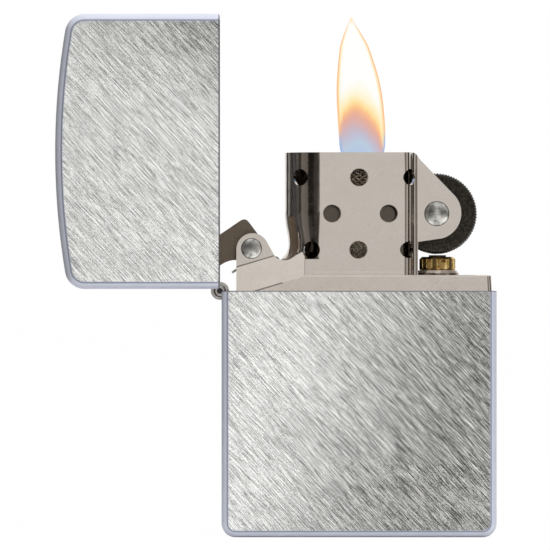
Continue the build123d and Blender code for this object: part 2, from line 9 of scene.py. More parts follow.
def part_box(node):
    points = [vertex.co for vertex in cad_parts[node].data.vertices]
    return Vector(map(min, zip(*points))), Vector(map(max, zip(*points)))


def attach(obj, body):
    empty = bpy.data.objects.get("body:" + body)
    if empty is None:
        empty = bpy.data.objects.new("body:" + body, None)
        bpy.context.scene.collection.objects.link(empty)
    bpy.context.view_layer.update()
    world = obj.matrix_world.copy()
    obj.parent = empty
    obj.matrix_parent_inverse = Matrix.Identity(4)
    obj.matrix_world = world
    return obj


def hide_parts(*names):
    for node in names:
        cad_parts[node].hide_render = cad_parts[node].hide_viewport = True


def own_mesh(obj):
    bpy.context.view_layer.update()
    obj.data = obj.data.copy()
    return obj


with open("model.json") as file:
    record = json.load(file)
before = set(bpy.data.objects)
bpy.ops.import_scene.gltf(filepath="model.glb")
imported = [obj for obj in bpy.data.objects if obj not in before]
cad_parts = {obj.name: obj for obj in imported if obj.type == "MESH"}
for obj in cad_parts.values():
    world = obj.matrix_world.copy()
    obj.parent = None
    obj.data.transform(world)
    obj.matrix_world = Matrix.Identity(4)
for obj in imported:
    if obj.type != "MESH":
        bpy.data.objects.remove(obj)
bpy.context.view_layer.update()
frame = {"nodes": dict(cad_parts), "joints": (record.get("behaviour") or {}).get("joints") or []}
NODES = frame["nodes"]

MM = 0.001
TAU = 2 * math.pi


def joint(name):
    """The record's entry for one joint."""
    return next(j for j in frame["joints"] if j["name"] == name)


# ---------------------------------------------------------------- places, from the frame
CASE_LOW, CASE_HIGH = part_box("case_shell")
LID_RIM_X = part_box("lid_shell")[1].x
WHEEL_LOW, WHEEL_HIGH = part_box("striker_wheel")
WICK_LOW, WICK_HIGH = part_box("wick")
WHEEL_AXIS = Vector(joint("wheel_spin")["pos_m"])


# ---------------------------------------------------------------- shader wiring
class Shader:
    """A node material being wired up around one Principled shader."""

    def __init__(self, name):
        self.material = bpy.data.materials.new(name)
        self.material.use_nodes = True
        self.tree = self.material.node_tree
        self.tree.nodes.clear()
        self.output = self.add("ShaderNodeOutputMaterial")
        self.surface = self.add("ShaderNodeBsdfPrincipled")
        self.link(self.surface.outputs["BSDF"], self.output.inputs["Surface"])
        self.coords = self.add("ShaderNodeTexCoord")
        millimetres = self.add("ShaderNodeVectorMath", operation="SCALE")
        millimetres.inputs["Scale"].default_value = 1 / MM
        self.link(self.coords.outputs["Object"], millimetres.inputs[0])
        self.position = millimetres.outputs[0]

    def add(self, kind, **settings):
        node = self.tree.nodes.new(kind)
        for key, value in settings.items():
            setattr(node, key, value)
        return node

    def link(self, source, target):
        self.tree.links.new(source, target)

    def set(self, **values):
        """Sets sockets of the Principled shader, written with _ for a space."""
        for key, value in values.items():
            socket = self.surface.inputs[key.replace("_", " ")]
            if isinstance(value, bpy.types.NodeSocket):
                self.link(value, socket)
            elif hasattr(socket.default_value, "__len__") and len(value) == 3:
                socket.default_value = (*value, 1)
            else:
                socket.default_value = value

    def feed(self, value, socket):
        """Links a socket, or sets a plain value."""
        if isinstance(value, bpy.types.NodeSocket):
            self.link(value, socket)
        else:
            socket.default_value = value

    def math(self, operation, a, b=0.0, clamp=False):
        node = self.add("ShaderNodeMath", operation=operation, use_clamp=clamp)
        self.feed(a, node.inputs[0])
        self.feed(b, node.inputs[1])
        return node.outputs[0]

    def turned(self, vector, angle, axis="Y_AXIS"):
        node = self.add("ShaderNodeVectorRotate", rotation_type=axis)
        node.inputs["Angle"].default_value = angle
        self.link(vector, node.inputs["Vector"])
        return node.outputs[0]

    def scaled(self, vector, scale, shift=(0, 0, 0)):
        node = self.add("ShaderNodeMapping")
        node.inputs["Scale"].default_value = scale
        node.inputs["Location"].default_value = shift
        self.link(vector, node.inputs["Vector"])
        return node.outputs[0]

    def noise(self, vector, scale=1.0, detail=2.0, roughness=0.5, distortion=0.0):
        node = self.add("ShaderNodeTexNoise")
        node.inputs["Scale"].default_value = scale
        node.inputs["Detail"].default_value = detail
        node.inputs["Roughness"].default_value = roughness
        node.inputs["Distortion"].default_value = distortion
        self.link(vector, node.inputs["Vector"])
        return node.outputs["Fac"]

    def cells(self, vector, scale):
        node = self.add("ShaderNodeTexVoronoi")
        node.inputs["Scale"].default_value = scale
        self.link(vector, node.inputs["Vector"])
        return node.outputs["Distance"]

    def along(self, vector, direction):
        """The distance of a point along a direction."""
        node = self.add("ShaderNodeVectorMath", operation="DOT_PRODUCT")
        self.link(vector, node.inputs[0])
        node.inputs[1].default_value = direction
        return node.outputs["Value"]

    def distance_from_axis(self, point):
        """How far a point is, in millimetres, from an axis that runs front to back."""
        offset = self.add("ShaderNodeVectorMath", operation="SUBTRACT")
        self.link(self.position, offset.inputs[0])
        offset.inputs[1].default_value = Vector(point) / MM
        square_on = self.add("ShaderNodeVectorMath", operation="MULTIPLY")
        self.link(offset.outputs[0], square_on.inputs[0])
        square_on.inputs[1].default_value = (1, 0, 1)
        length = self.add("ShaderNodeVectorMath", operation="LENGTH")
        self.link(square_on.outputs[0], length.inputs[0])
        return length.outputs["Value"]

    def remap(self, value, low, high, to_low=0.0, to_high=1.0, kind="SMOOTHSTEP"):
        node = self.add("ShaderNodeMapRange", interpolation_type=kind)
        self.feed(value, node.inputs["Value"])
        node.inputs["From Min"].default_value = low
        node.inputs["From Max"].default_value = high
        node.inputs["To Min"].default_value = to_low
        node.inputs["To Max"].default_value = to_high
        return node.outputs["Result"]

    def ramp(self, value, stops):
        node = self.add("ShaderNodeValToRGB")
        elements = node.color_ramp.elements
        while len(elements) < len(stops):
            elements.new(0.5)
        for element, (place, colour) in zip(elements, stops):
            element.position = place
            element.color = (*colour, 1)
        self.feed(value, node.inputs["Fac"])
        return node.outputs["Color"]

    def mix(self, factor, a, b):
        node = self.add("ShaderNodeMix", data_type="RGBA")
        self.feed(factor, node.inputs["Factor"])
        for value, socket in ((a, node.inputs["A"]), (b, node.inputs["B"])):
            self.feed(value if isinstance(value, bpy.types.NodeSocket) else (*value, 1), socket)
        return node.outputs["Result"]

    def bump(self, height, strength, distance_mm, normal=None):
        node = self.add("ShaderNodeBump")
        node.inputs["Strength"].default_value = strength
        node.inputs["Distance"].default_value = distance_mm * MM
        self.link(height, node.inputs["Height"])
        if normal is not None:
            self.link(normal, node.inputs["Normal"])
        return node.outputs["Normal"]

    def normal_along(self, axis):
        """The size of the object-space normal's part along one axis."""
        parts = self.add("ShaderNodeSeparateXYZ")
        self.link(self.coords.outputs["Normal"], parts.inputs[0])
        return self.math("ABSOLUTE", parts.outputs[axis])


def srgb(red, green, blue):
    """A colour given as 0 to 255 screen values, as linear light."""
    channels = []
    for value in (red, green, blue):
        share = value / 255
        channels.append(share / 12.92 if share <= 0.04045 else ((share + 0.055) / 1.055) ** 2.4)
    return tuple(channels)


def paint(material, *names):
    """Gives CAD nodes a material."""
    for name in names:
        mesh = NODES[name].data
        mesh.materials.clear()
        mesh.materials.append(material)


# ---------------------------------------------------------------- metals
STROKE_ANGLE = math.radians(-47)
TURNING_RINGS_PER_MM = 26.0 / TAU
CHIMNEY_MIDDLE_X = (-5.4, 6.0)  # where the chimney's inner middle line starts and ends, in millimetres


def brushed_plate(name, shade_direction, shade_from, shade_to, rim_direction, rim_at):
    """Satin chrome whose broad faces are brushed in one slanting direction.

    A painted shade falls along shade_direction, in object millimetres, from shade_from to shade_to, mixing
    a lit copy of the brushed tone into a shaded one.
    The opening's rim, at rim_at millimetres along rim_direction, gets a thin painted shadow line.
    Where a rounded edge starts to turn away from the broad face, a painted dark reflection line runs along
    it.
    """
    s = Shader(name)
    strokes = s.turned(s.position, STROKE_ANGLE)
    fine = s.noise(s.scaled(strokes, (0.5, 0.6, 24.0)), detail=2, roughness=0.6)
    broad = s.noise(s.scaled(strokes, (0.3, 0.4, 17.0), (7, 3, 1)), detail=2, roughness=0.55)
    grain = s.noise(s.scaled(strokes, (7.0, 7.0, 16.0), (2, 9, 4)), detail=2)
    cuts = s.noise(s.scaled(strokes, (0.36, 0.5, 19.0), (5, 2, 7)), detail=2, roughness=0.5)
    patches = s.noise(s.scaled(strokes, (0.05, 0.08, 0.16), (3, 1, 8)), detail=2)
    lines = s.math("ADD", s.math("MULTIPLY", fine, 0.36), s.math("MULTIPLY", broad, 0.34))
    lines = s.math("ADD", lines, s.math("MULTIPLY", grain, 0.3))
    tone = s.remap(lines, 0.445, 0.565)
    # painted shade: the tone falls from a lit copy at shade_from to a shaded copy at shade_to
    shade = s.remap(s.along(s.position, shade_direction), shade_from, shade_to)
    shade = s.math("ADD", shade, s.remap(patches, 0.3, 0.7, -0.05, 0.05), clamp=True)
    lit_stops = [(0.0, srgb(144, 145, 143)), (0.42, srgb(224, 225, 223)), (1.0, srgb(252, 253, 251))]
    bright = s.ramp(tone, lit_stops)
    shaded_stops = [(0.0, srgb(46, 47, 44)), (0.5, srgb(110, 111, 107)), (1.0, srgb(198, 199, 195))]
    dark = s.ramp(tone, shaded_stops)
    brushed = s.mix(shade, bright, dark)
    brushed = s.mix(s.remap(cuts, 0.56, 0.67, 0.0, 0.8), brushed, srgb(84, 85, 83))
    brushed = s.mix(s.remap(cuts, 0.33, 0.44, 0.7, 0.0), brushed, srgb(250, 250, 248))
    cloud = s.noise(s.scaled(s.position, (0.5, 0.5, 0.5)), detail=3)
    satin = s.mix(cloud, srgb(170, 174, 186), srgb(182, 185, 196))
    facing = s.normal_along("Y")
    flatness = s.remap(facing, 0.985, 0.9992)
    # painted reflection: a dark line where the rounded edge starts to turn away from the broad face
    turn_reflection_line = s.math("MULTIPLY", s.remap(facing, 0.92, 0.97), s.remap(facing, 0.985, 0.998, 1.0, 0.0))
    satin = s.mix(s.math("MULTIPLY", turn_reflection_line, 0.75), satin, srgb(90, 94, 116))
    plate = s.mix(flatness, satin, brushed)
    # painted shadow: a thin dark line at the opening's rim, for the shade in the gap there
    rim = s.remap(s.along(s.position, rim_direction), rim_at - 0.16, rim_at - 0.08)
    s.set(
        Base_Color=s.mix(s.math("MULTIPLY", rim, 0.85), plate, srgb(58, 58, 62)),
        Metallic=s.math("ADD", s.math("MULTIPLY", flatness, 0.2), 0.35),
        Roughness=s.math("ADD", s.math("MULTIPLY", flatness, 0.1), 0.34),
    )
    weave = s.math("MULTIPLY", tone, flatness)
    specks = s.noise(s.scaled(s.position, (3, 3, 3)), detail=4, roughness=0.7)
    s.set(Normal=s.bump(weave, 0.3, 0.03, s.bump(specks, 0.05, 0.02)))
    return s.material


def inside_share(s):
    """1 on the chimney's inner faces, whose normals point back at its middle line, else 0."""
    parts = s.add("ShaderNodeSeparateXYZ")
    s.link(s.position, parts.inputs[0])
    middle = s.add("ShaderNodeClamp")
    s.link(parts.outputs["X"], middle.inputs["Value"])
    middle.inputs["Min"].default_value, middle.inputs["Max"].default_value = CHIMNEY_MIDDLE_X
    outward = s.add("ShaderNodeCombineXYZ")
    s.link(s.math("SUBTRACT", parts.outputs["X"], middle.outputs[0]), outward.inputs["X"])
    s.link(parts.outputs["Y"], outward.inputs["Y"])
    normal = s.add("ShaderNodeNewGeometry")
    facing_out = s.add("ShaderNodeVectorMath", operation="DOT_PRODUCT")
    s.link(outward.outputs[0], facing_out.inputs[0])
    s.link(normal.outputs["Normal"], facing_out.inputs[1])
    return s.remap(facing_out.outputs["Value"], -1.2, -0.6, 1.0, 0.0)


def bright_nickel(name, inside_shade=0.0):
    """The insert's warm nickel plate: nearly a mirror, with faint draw lines, pits and smudges.

    The second argument is how far the chimney's inner faces are darkened: a painted shade for the dark
    inside of the chimney.
    """
    s = Shader(name)
    smudges = s.noise(s.scaled(s.position, (0.3, 0.3, 0.35)), detail=4, roughness=0.6)
    lines = s.noise(s.scaled(s.position, (9, 9, 0.5)), detail=2)
    scratches = s.noise(s.scaled(s.turned(s.position, 0.9), (0.5, 3, 16)), detail=2, roughness=0.4)
    scratch_mask = s.remap(scratches, 0.66, 0.74)
    specks = s.noise(s.scaled(s.position, (5, 5, 5), (3, 7, 2)), detail=3, roughness=0.6)
    speck_mask = s.remap(specks, 0.64, 0.72)
    tint = s.mix(smudges, srgb(203, 194, 184), srgb(222, 213, 204))
    marked = s.mix(s.math("MULTIPLY", speck_mask, 0.4), tint, srgb(112, 100, 90))
    marked = s.mix(s.math("MULTIPLY", scratch_mask, 0.3), marked, srgb(245, 240, 232))
    # painted shade on the chimney's inner faces
    marked = s.mix(s.math("MULTIPLY", inside_share(s), inside_shade), marked, srgb(60, 52, 42))
    s.set(
        Base_Color=marked,
        Metallic=1.0,
        Roughness=s.remap(smudges, 0.3, 0.75, 0.05, 0.11),
    )
    s.set(Normal=s.bump(lines, 0.04, 0.01, s.bump(specks, 0.05, 0.02)))
    return s.material


def scuffed_steel(name, light, dark, roughness, blotch, head=None):
    """Plain plated steel, with soft blotches and small dents from handling.

    A rivet's head, given as its axis and radius, gets a painted shadow line round its edge, for the shade
    in the gap there.
    """
    s = Shader(name)
    blotches = s.noise(s.scaled(s.position, (blotch, blotch, blotch)), detail=5, roughness=0.62)
    scratches = s.noise(s.scaled(s.turned(s.position, 0.5), (0.8, 4, 14)), detail=3)
    colour = s.mix(s.remap(blotches, 0.35, 0.66), dark, light)
    if head is not None:
        axis, radius = head
        # painted shadow: a dark line round the head's edge, where the gap around it is in shade
        edge = s.remap(s.distance_from_axis(axis), radius - 0.17, radius - 0.08, 0.0, 0.8)
        colour = s.mix(edge, colour, srgb(52, 46, 41))
    s.set(
        Base_Color=colour,
        Metallic=1.0,
        Roughness=s.remap(blotches, 0.3, 0.7, roughness + 0.14, roughness - 0.04),
    )
    s.set(Normal=s.bump(blotches, 0.2, 0.08, s.bump(scratches, 0.1, 0.015)))
    return s.material


def rivet_steel(name, node):
    """The steel of one rivet, with a painted shadow line round the edge of its head."""
    low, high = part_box(node)
    head = ((low + high) / 2, (high.x - low.x) / 2 / MM)
    light, dark = srgb(220, 219, 214), srgb(126, 124, 119)
    return scuffed_steel(name, light, dark, roughness=0.36, blotch=0.8, head=head)


def sintered_metal(name):
    """The cam's grainy brown-grey surface."""
    s = Shader(name)
    grains = s.cells(s.position, 4.2)
    cloud = s.noise(s.scaled(s.position, (0.5, 0.5, 0.5)), detail=5, roughness=0.65)
    fine = s.noise(s.scaled(s.position, (9, 9, 9)), detail=3, roughness=0.7)
    speck = s.ramp(fine, [(0.36, srgb(44, 38, 32)), (0.5, srgb(92, 81, 69)), (0.64, srgb(150, 137, 122))])
    s.set(
        Base_Color=s.mix(s.math("MULTIPLY", cloud, 0.5), speck, srgb(74, 64, 54)),
        Metallic=0.6,
        Roughness=s.remap(fine, 0.3, 0.7, 0.62, 0.42),
    )
    s.set(Normal=s.bump(fine, 0.4, 0.05, s.bump(grains, 0.2, 0.05)))
    return s.material


def dark_tool_steel(name):
    """The striker wheel: nearly black, lighter where the teeth have rubbed bright."""
    s = Shader(name)
    radius = s.distance_from_axis(WHEEL_AXIS)
    outer = (WHEEL_HIGH.z - WHEEL_LOW.z) / 2 / MM
    crest = s.remap(radius, outer - 0.16, outer)
    speck = s.noise(s.scaled(s.position, (3.5, 3.5, 3.5)), detail=5, roughness=0.75)
    turning = s.add("ShaderNodeMath", operation="SINE")
    s.link(s.math("MULTIPLY", radius, TAU * TURNING_RINGS_PER_MM), turning.inputs[0])
    base = s.mix(s.remap(speck, 0.35, 0.7), srgb(26, 24, 21), srgb(70, 65, 58))
    s.set(
        Base_Color=s.mix(s.math("MULTIPLY", crest, 0.5), base, srgb(128, 122, 112)),
        Metallic=0.85,
        Roughness=s.remap(speck, 0.3, 0.7, 0.52, 0.36),
    )
    s.set(Normal=s.bump(speck, 0.35, 0.05, s.bump(turning.outputs[0], 0.10, 0.01)))
    return s.material


def drawn_brass(name):
    """Brass with darker tarnish in patches."""
    s = Shader(name)
    tarnish = s.noise(s.scaled(s.position, (0.8, 0.8, 1.1)), detail=5, roughness=0.65)
    lines = s.noise(s.scaled(s.position, (1, 1, 9)), detail=2)
    stops = [(0.36, srgb(110, 82, 40)), (0.5, srgb(224, 186, 114)), (0.66, srgb(246, 220, 160))]
    s.set(
        Base_Color=s.ramp(tarnish, stops),
        Metallic=1.0,
        Roughness=s.remap(tarnish, 0.3, 0.7, 0.28, 0.12),
    )
    s.set(Normal=s.bump(lines, 0.08, 0.03))
    return s.material


def flint_alloy(name):
    """The flint's dull grey, slightly grainy face."""
    s = Shader(name)
    speck = s.noise(s.scaled(s.position, (4, 4, 4)), detail=5, roughness=0.7)
    s.set(
        Base_Color=s.mix(speck, srgb(60, 57, 53), srgb(112, 107, 100)),
        Metallic=0.6,
        Roughness=0.6,
        Normal=s.bump(speck, 0.4, 0.06),
    )
    return s.material


def hinge_steel(name):
    """The rolled knuckles and the pin's end, with painted shade in the ring between them and in the pin's
    dimple, and a darker line on the rolled end.

    The rings are placed by their radii about the hinge's axis, in millimetres.
    """
    s = Shader(name)
    radius = s.distance_from_axis(joint("lid_hinge")["pos_m"])
    # painted shade in the gap between pin and knuckle, and in the pin's dimple
    gap_shade_ring = s.math("MULTIPLY", s.remap(radius, 0.56, 0.66), s.remap(radius, 0.82, 0.92, 1.0, 0.0))
    core = s.remap(radius, 0.36, 0.46, 1.0, 0.0)
    roll_line = s.math("MULTIPLY", s.remap(radius, 0.98, 1.03), s.remap(radius, 1.06, 1.12, 1.0, 0.0))
    shade_and_roll_line = s.math("MAXIMUM", s.math("MAXIMUM", gap_shade_ring, core), s.math("MULTIPLY", roll_line, 0.5))
    cloud = s.noise(s.scaled(s.position, (1.2, 1.2, 1.2)), detail=4, roughness=0.6)
    plate = s.mix(cloud, srgb(176, 170, 164), srgb(226, 222, 218))
    s.set(
        Base_Color=s.mix(shade_and_roll_line, plate, srgb(34, 30, 28)),
        Metallic=s.math("SUBTRACT", 1.0, s.math("MULTIPLY", shade_and_roll_line, 0.8)),
        Roughness=s.remap(cloud, 0.3, 0.7, 0.34, 0.2),
    )
    s.set(Normal=s.bump(cloud, 0.2, 0.05))
    return s.material


# ---------------------------------------------------------------- cotton and felt
def wick_cotton(name, top_z):
    """Braided cotton, charred dark at the top and browned just below it."""
    s = Shader(name)
    fibres = s.noise(s.scaled(s.position, (5, 5, 1.6)), detail=4, roughness=0.7)
    height = s.along(s.position, (0, 0, 1))
    ragged = s.math("ADD", height, s.remap(s.noise(s.position, 0.9, 3), 0.3, 0.7, -0.6, 0.6))
    char = s.remap(ragged, top_z / MM - 1.8, top_z / MM - 0.3)
    cotton = s.mix(fibres, srgb(206, 192, 168), srgb(244, 234, 216))
    browned = s.mix(s.remap(ragged, top_z / MM - 6.5, top_z / MM - 2.5), cotton, srgb(156, 138, 120))
    s.set(
        Base_Color=s.mix(char, browned, srgb(72, 63, 55)),
        Roughness=0.92,
        Sheen_Weight=0.2,
        Normal=s.bump(fibres, 0.2, 0.04),
    )
    return s.material


def loose_fibre(name, light, dark, fibre_scale):
    """Cotton wool or felt: tangled fibres over soft hollows."""
    s = Shader(name)
    first = s.noise(s.scaled(s.turned(s.position, 0.7), (0.5, 4, 4)), fibre_scale, 4, 0.7, 0.4)
    second = s.noise(s.scaled(s.turned(s.position, -0.9, "X_AXIS"), (4, 0.6, 4)), fibre_scale, 4, 0.7, 0.4)
    hollows = s.noise(s.scaled(s.position, (0.35, 0.35, 0.35)), detail=3)
    tangle = s.math("MAXIMUM", first, second)
    s.set(
        # painted shade: darker where the bump is low, in the hollows and between the fibres
        Base_Color=s.mix(s.math("MULTIPLY", tangle, hollows), dark, light),
        Roughness=0.95,
        Sheen_Weight=0.35,
        Normal=s.bump(tangle, 0.6, 0.12, s.bump(hollows, 0.4, 0.3)),
    )
    return s.material


# ---------------------------------------------------------------- mesh helpers
def mesh_piece(name, points, faces, material, body):
    """A new smooth mesh object with one material, riding on a CAD body."""
    mesh = bpy.data.meshes.new(name)
    mesh.from_pydata([tuple(p) for p in points], [], faces)
    mesh.validate()
    mesh.materials.append(material)
    mesh.shade_smooth()
    piece = bpy.data.objects.new(name, mesh)
    bpy.context.scene.collection.objects.link(piece)
    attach(piece, body)
    return piece


def ring_faces(rings, around, closed_rings=False, offset=0):
    """Quads between rings of points that each go once around."""
    faces = []
    last = rings if closed_rings else rings - 1
    for i in range(last):
        here = offset + i * around
        there = offset + ((i + 1) % rings) * around
        for k in range(around):
            n = (k + 1) % around
            faces.append((here + k, here + n, there + n, there + k))
    return faces


def tube_faces(rings, around, offset=0):
    """The faces of a tube of rings, closed at both ends."""
    faces = ring_faces(rings, around, offset=offset)
    faces.append(tuple(offset + k for k in range(around)))
    faces.append(tuple(offset + (rings - 1) * around + k for k in reversed(range(around))))
    return faces


def wave(value):
    """A triangle wave from 0 to 1 and back, once for each whole step."""
    share = value - math.floor(value)
    return 1 - abs(2 * share - 1)


# ---------------------------------------------------------------- striker wheel
KNURL_TEETH = 88
KNURL_DEPTH = 0.24 * MM
CROSS_CUT_PITCH = 0.62 * MM  # along the wheel's width
SAMPLES_PER_TOOTH = 6
HUB_R = 2.2 * MM
BORE_R = 0.96 * MM
RIM_STEPS = 56
FACE_STEPS = 8


def wheel_profile(half, outer, hub_half):
    """(y, radius, knurl share) all the way round the wheel's section, as a closed loop."""
    bevel, shoulder_drop, middle_drop, corner = 0.42 * MM, 0.62 * MM, 0.3 * MM, 0.1 * MM
    flat = 2 * (half - bevel)
    rim = [(-half + bevel + flat * i / RIM_STEPS, outer, 1.0) for i in range(RIM_STEPS + 1)]
    left_bevel = [(-half, outer - shoulder_drop, 0.0), (-half + corner, outer - middle_drop, 0.35)]
    right_bevel = [(-y, r, share) for y, r, share in reversed(left_bevel)]
    face_width = outer - HUB_R - 0.75 * MM
    face = [HUB_R + corner + face_width * i / FACE_STEPS for i in range(FACE_STEPS)]
    left = [(-hub_half, BORE_R, 0), (-hub_half, HUB_R - corner, 0), (-hub_half + 0.06 * MM, HUB_R, 0)]
    left += [(-half, r, 0) for r in face]
    right = [(-y, r, share) for y, r, share in reversed(left)]
    return left + left_bevel + rim + right_bevel + right


def striker_wheel():
    """The wheel with its cross-cut teeth, bevelled shoulders and raised hubs.

    skew is how many teeth the knurl has slanted by at y, and wear blunts each tooth a little.
    """
    outer = (WHEEL_HIGH.z - WHEEL_LOW.z) / 2
    hub_half = (WHEEL_HIGH.y - WHEEL_LOW.y) / 2
    half = hub_half - 0.15 * MM
    profile = wheel_profile(half, outer, hub_half)
    around = KNURL_TEETH * SAMPLES_PER_TOOTH
    pitch = TAU * outer / KNURL_TEETH
    points = []
    for y, radius, share in profile:
        cross_cut = 0.45 + 0.55 * wave(y / CROSS_CUT_PITCH) ** 0.6
        skew = 0.3 * y / half
        for k in range(around):
            tooth = int(k / SAMPLES_PER_TOOTH + skew)
            wear = 0.72 + 0.28 * noise.noise(Vector((tooth * 1.7, y / pitch * 0.5, 3.1)))
            height = wave(k / SAMPLES_PER_TOOTH + skew) ** 0.9 * cross_cut * wear
            r = radius - share * KNURL_DEPTH * (1 - height)
            angle = TAU * k / around
            points.append((WHEEL_AXIS.x + r * math.cos(angle), y, WHEEL_AXIS.z + r * math.sin(angle)))
    faces = ring_faces(len(profile), around, closed_rings=True)
    wheel = mesh_piece("striker_wheel_knurled", points, faces, dark_tool_steel("wheel_steel_look"), "wheel")
    wheel.data.set_sharp_from_angle(angle=math.radians(38))
    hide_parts("striker_wheel")


# ---------------------------------------------------------------- flint spring
SPRING_WIRE_R = 0.17 * MM
SPRING_PITCH = 1.5 * MM
SPRING_STEPS_PER_TURN = 24


def flint_spring(material):
    """The coil under the flint's tip."""
    low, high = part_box("flint_spring")
    coil_r = (high.x - low.x) / 2 - SPRING_WIRE_R
    middle = (low + high) / 2
    height = high.z - low.z - 2 * SPRING_WIRE_R
    turns = height / SPRING_PITCH
    steps, around = int(turns * SPRING_STEPS_PER_TURN), 10
    upward = Vector((0, 0, 1))
    points = []
    for i in range(steps + 1):
        share = i / steps
        angle = TAU * turns * share
        outward = Vector((math.cos(angle), math.sin(angle), 0))
        centre = Vector((middle.x, middle.y, low.z + SPRING_WIRE_R + height * share)) + outward * coil_r
        for k in range(around):
            a = TAU * k / around
            points.append(centre + SPRING_WIRE_R * (outward * math.cos(a) + upward * math.sin(a)))
    spring = mesh_piece("flint_spring_coil", points, tube_faces(steps + 1, around), material, "insert")
    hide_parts("flint_spring")
    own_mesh(spring)


# ---------------------------------------------------------------- wick
# the control points of the wick's middle line as (x, z), in millimetres, from its top down
WICK_ROUTE = [(0.3, 51.3), (0.3, 40.0), (0.3, 27.5), (-11.5, 21.5), (5.5, 13.5), (-11.5, 5.8)]
STRANDS_EACH_WAY = 7
STRAND_R = 0.27 * MM
BRAID_STEP = 0.14 * MM
BRAID_LEAD = 5.2 * MM
FRAYED_LENGTH = 1.1 * MM
FRAY_SPREAD = 0.22
WEAVE_DEPTH = 0.32 * STRAND_R
STRAND_SIDES = 6
CORE_SIDES = 12


def wick_line(step):
    """Points evenly spaced along the wick's middle line, in the XZ plane."""
    route = bpy.data.curves.new("wick_route", "CURVE")
    route.dimensions = "3D"
    route.resolution_u = 32
    spline = route.splines.new("NURBS")
    spline.points.add(len(WICK_ROUTE) - 1)
    for point, (x, z) in zip(spline.points, WICK_ROUTE):
        point.co = (x * MM, 0, z * MM, 1)
    spline.order_u = 3
    spline.use_endpoint_u = True
    holder = bpy.data.objects.new("wick_route", route)
    bpy.context.scene.collection.objects.link(holder)
    mesh = bpy.data.meshes.new_from_object(holder)
    line = np.array([v.co for v in mesh.vertices])
    bpy.data.objects.remove(holder)
    lengths = np.concatenate([[0], np.cumsum(np.linalg.norm(np.diff(line, axis=0), axis=1))])
    wanted = np.arange(0, lengths[-1], step)
    return np.stack([np.interp(wanted, lengths, line[:, i]) for i in range(3)], axis=1)


def wick_strand(line, tangents, middle_r, direction, strand):
    """The points of one strand, which winds one way and passes over and under the others."""
    sideways = np.array([0.0, 1.0, 0.0])
    points = []
    for i, (place, tangent) in enumerate(zip(line, tangents)):
        along = i * BRAID_STEP
        phase = TAU * (direction * along / BRAID_LEAD + strand / STRANDS_EACH_WAY)
        over = math.sin(phase * STRANDS_EACH_WAY * direction + (math.pi if direction > 0 else 0))
        flare = 1 + FRAY_SPREAD * max(0, 1 - along / FRAYED_LENGTH) * (1 + 0.5 * math.sin(7 * strand))
        radius = (middle_r + WEAVE_DEPTH * over) * min(flare, 1.25)
        across = np.cross(sideways, tangent)
        out = math.cos(phase) * across + math.sin(phase) * sideways
        centre = place + out * radius
        if i < 3:
            centre = centre - tangent * (0.25 * MM * math.sin(5 * strand + direction))
        other = np.cross(tangent, out)
        for k in range(STRAND_SIDES):
            a = TAU * k / STRAND_SIDES
            points.append(centre + STRAND_R * (math.cos(a) * out + math.sin(a) * other))
    return points


def wick_core(line, tangents, core_r):
    """The points of the plain core inside the strands."""
    sideways = np.array([0.0, 1.0, 0.0])
    points = []
    for place, tangent in zip(line, tangents):
        across = np.cross(sideways, tangent)
        for k in range(CORE_SIDES):
            a = TAU * k / CORE_SIDES
            points.append(place + core_r * (math.cos(a) * across + math.sin(a) * sideways))
    return points


def wick():
    """A braided cotton wick: strands winding both ways over and under each other, round a core."""
    line = wick_line(BRAID_STEP)
    tangents = np.gradient(line, axis=0)
    tangents /= np.linalg.norm(tangents, axis=1)[:, None]
    middle_r = (WICK_HIGH.y - WICK_LOW.y) / 2 - 1.45 * STRAND_R
    points, faces = [], []
    for direction in (-1, 1):
        for strand in range(STRANDS_EACH_WAY):
            faces += tube_faces(len(line), STRAND_SIDES, offset=len(points))
            points += wick_strand(line, tangents, middle_r, direction, strand)
    faces += tube_faces(len(line), CORE_SIDES, offset=len(points))
    points += wick_core(line, tangents, middle_r - 0.3 * STRAND_R)
    piece = mesh_piece("wick_braid", points, faces, wick_cotton("wick_look", WICK_HIGH.z), "insert")
    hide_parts("wick")


# ---------------------------------------------------------------- packing and felt
def fluffed(node, name, material, voxel, depth, scale, seed):
    """A soft piece made from its CAD solid: remeshed, then hollowed inwards in lumps, up to depth."""
    piece = bpy.data.objects.new(name, NODES[node].data.copy())
    bpy.context.scene.collection.objects.link(piece)
    remesh = piece.modifiers.new("even", "REMESH")
    remesh.mode = "VOXEL"
    remesh.voxel_size = voxel
    bpy.context.view_layer.update()
    graph = bpy.context.evaluated_depsgraph_get()
    mesh = bpy.data.meshes.new_from_object(piece.evaluated_get(graph))
    piece.modifiers.clear()
    piece.data = mesh
    mesh.materials.clear()
    mesh.materials.append(material)
    shift = Vector((seed * 3.7, seed * 1.3, seed * 2.9))
    normals = [v.normal.copy() for v in mesh.vertices]
    for vertex, normal in zip(mesh.vertices, normals):
        lumps = noise.fractal(vertex.co / scale + shift, 0.8, 2.2, 4)
        vertex.co += normal * depth * (min(max(lumps, -1), 1) - 1) * 0.5
    mesh.shade_smooth()
    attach(piece, "insert")
    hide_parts(node)
    return piece


def packing():
    """The cotton wads that fill the tank, and the felt pad that closes it."""
    cotton = loose_fibre("packing_look", srgb(246, 244, 238), srgb(206, 201, 190), 1.0)
    wads = sorted(n for n in NODES if n.startswith("wadding_"))
    for number, node in enumerate(wads, start=1):
        sizes = {"voxel": 0.34 * MM, "depth": 0.45 * MM, "scale": 1.6 * MM}
        wad = fluffed(node, f"cotton_wad_{number}", cotton, seed=number, **sizes)
    felt = loose_fibre("felt_look", srgb(226, 221, 208), srgb(168, 160, 144), 1.6)
    sizes = {"voxel": 0.22 * MM, "depth": 0.16 * MM, "scale": 0.6 * MM}
    pad = fluffed("felt_pad", "felt_pad_soft", felt, seed=11, **sizes)


